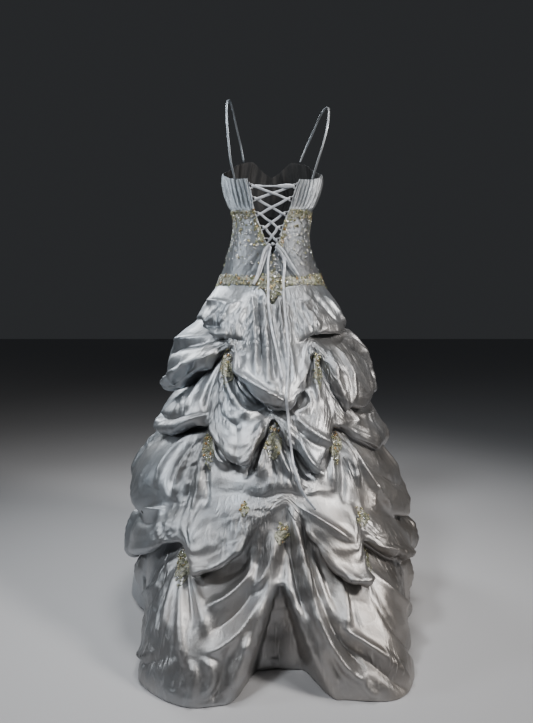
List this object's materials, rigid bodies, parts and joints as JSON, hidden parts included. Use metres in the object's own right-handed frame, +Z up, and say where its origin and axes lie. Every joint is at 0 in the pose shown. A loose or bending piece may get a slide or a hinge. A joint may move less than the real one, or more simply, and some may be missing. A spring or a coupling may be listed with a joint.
{
  "type": "ball gown",
  "caption": "Strapped ball gown with a gathered bodice laced open at the back, a beaded dropped waist and a floor-length skirt picked up into puffs, filled out with no wearer.",
  "frame": {"origin": "on the gown's middle plane between the tops of the two shoulder straps, 1.49 m above the hem, where it hangs from the wearer's shoulders", "axes": "+Z up, the laced back faces -Y and the front +Y, +X to the wearer's right"},
  "size_m": [0.8782, 1.0419, 1.4907],
  "materials": {
    "taffeta": "metallic foil taffeta, crinkled, half glossy",
    "bead_lace": "beaded lace, glinting",
    "satin_ribbon": "satin",
    "corded_loop": "matt cord"
  },
  "bodies": {
    "root": {"skirt_back_upper": "taffeta", "skirt_back_middle": "taffeta", "skirt_back_lower": "taffeta", "skirt_front_upper": "taffeta", "skirt_front_middle": "taffeta", "skirt_front_lower": "taffeta", "torso_back_left": "taffeta", "torso_back_right": "taffeta", "torso_front": "taffeta", "bust_back_left": "taffeta", "bust_back_right": "taffeta", "bust_front": "taffeta", "strap_left": "taffeta", "strap_right": "taffeta", "lace_underbust_left": "bead_lace", "lace_underbust_right": "bead_lace", "lace_underbust_front": "bead_lace", "lace_edge_left": "bead_lace", "lace_edge_right": "bead_lace", "lace_hip_back": "bead_lace", "lace_hip_front": "bead_lace", "lace_pickup_a": "bead_lace", "lace_pickup_b": "bead_lace", "lace_pickup_c": "bead_lace", "lace_pickup_d": "bead_lace", "lace_pickup_e": "bead_lace", "lace_pickup_f": "bead_lace", "lace_pickup_g": "bead_lace", "lace_pickup_h": "bead_lace", "lace_pickup_i": "bead_lace", "lace_pickup_j": "bead_lace", "lace_pickup_k": "bead_lace", "lace_pickup_l": "bead_lace", "lace_pickup_m": "bead_lace", "lace_pickup_n": "bead_lace", "lace_pickup_o": "bead_lace", "lace_pickup_p": "bead_lace", "lacing_loops_left": "corded_loop", "lacing_loops_right": "corded_loop", "lacing_ribbon": "satin_ribbon", "lacing_knot": "satin_ribbon", "bow_loop_left": "satin_ribbon", "bow_loop_right": "satin_ribbon", "ribbon_tail_left": "satin_ribbon", "ribbon_tail_right": "satin_ribbon"}
  },
  "joints": []
}
